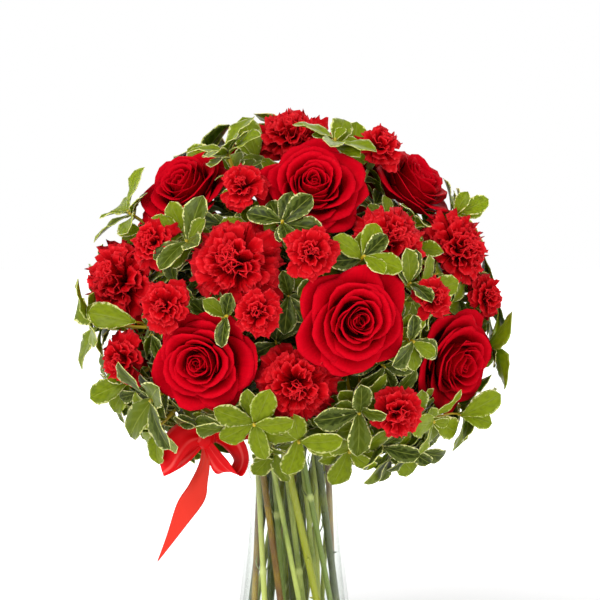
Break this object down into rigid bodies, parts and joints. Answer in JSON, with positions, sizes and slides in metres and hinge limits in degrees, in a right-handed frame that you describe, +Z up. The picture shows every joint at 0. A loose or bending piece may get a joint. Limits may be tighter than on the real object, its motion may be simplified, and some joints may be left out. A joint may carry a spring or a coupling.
{
  "type": "vase of roses and carnations",
  "caption": "Round bouquet of red roses, carnations and spray carnations with variegated greenery in a flared clear glass vase, with a satin bow.",
  "frame": {"origin": "middle of the vase's flat foot, on the surface it stands on", "axes": "+Z up along the vase's axis, -Y towards the bouquet's front, +X to the viewer's right"},
  "size_m": [0.3429, 0.3144, 0.4629],
  "materials": {
    "glass": "polished",
    "water": "polished",
    "satin_ribbon": "satin",
    "rose_petal": "satin",
    "carnation_petal": "matte",
    "green_stem": "satin",
    "variegated_leaf": "satin"
  },
  "bodies": {
    "root": {"vase": "glass", "water": "water", "ribbon": "satin_ribbon", "rose_bloom_1": "rose_petal", "rose_bloom_2": "rose_petal", "rose_bloom_3": "rose_petal", "rose_bloom_4": "rose_petal", "rose_bloom_5": "rose_petal", "rose_bloom_6": "rose_petal", "rose_bloom_7": "rose_petal", "rose_bloom_8": "rose_petal", "rose_bloom_9": "rose_petal", "rose_bloom_10": "rose_petal", "carnation_bloom_1": "carnation_petal", "carnation_bloom_2": "carnation_petal", "carnation_bloom_3": "carnation_petal", "carnation_bloom_4": "carnation_petal", "carnation_bloom_5": "carnation_petal", "carnation_bloom_6": "carnation_petal", "carnation_bloom_7": "carnation_petal", "carnation_bloom_8": "carnation_petal", "carnation_bloom_9": "carnation_petal", "spray_carnation_1": "carnation_petal", "spray_carnation_2": "carnation_petal", "spray_carnation_3": "carnation_petal", "spray_carnation_4": "carnation_petal", "spray_carnation_5": "carnation_petal", "spray_carnation_6": "carnation_petal", "spray_carnation_7": "carnation_petal", "spray_carnation_8": "carnation_petal", "spray_carnation_9": "carnation_petal", "spray_carnation_10": "carnation_petal", "spray_carnation_11": "carnation_petal", "spray_carnation_12": "carnation_petal", "rose_stem_1": "green_stem", "rose_stem_2": "green_stem", "rose_stem_3": "green_stem", "rose_stem_4": "green_stem", "rose_stem_5": "green_stem", "rose_stem_6": "green_stem", "rose_stem_7": "green_stem", "rose_stem_8": "green_stem", "rose_stem_9": "green_stem", "rose_stem_10": "green_stem", "carnation_stem_1": "green_stem", "carnation_stem_2": "green_stem", "carnation_stem_3": "green_stem", "carnation_stem_4": "green_stem", "carnation_stem_5": "green_stem", "carnation_stem_6": "green_stem", "carnation_stem_7": "green_stem", "carnation_stem_8": "green_stem", "carnation_stem_9": "green_stem", "spray_stem_left": "green_stem", "spray_stem_right": "green_stem", "spray_stem_top": "green_stem", "foliage_front_left": "variegated_leaf", "foliage_front_right": "variegated_leaf", "foliage_back_right": "variegated_leaf", "foliage_back_left": "variegated_leaf"}
  },
  "joints": []
}
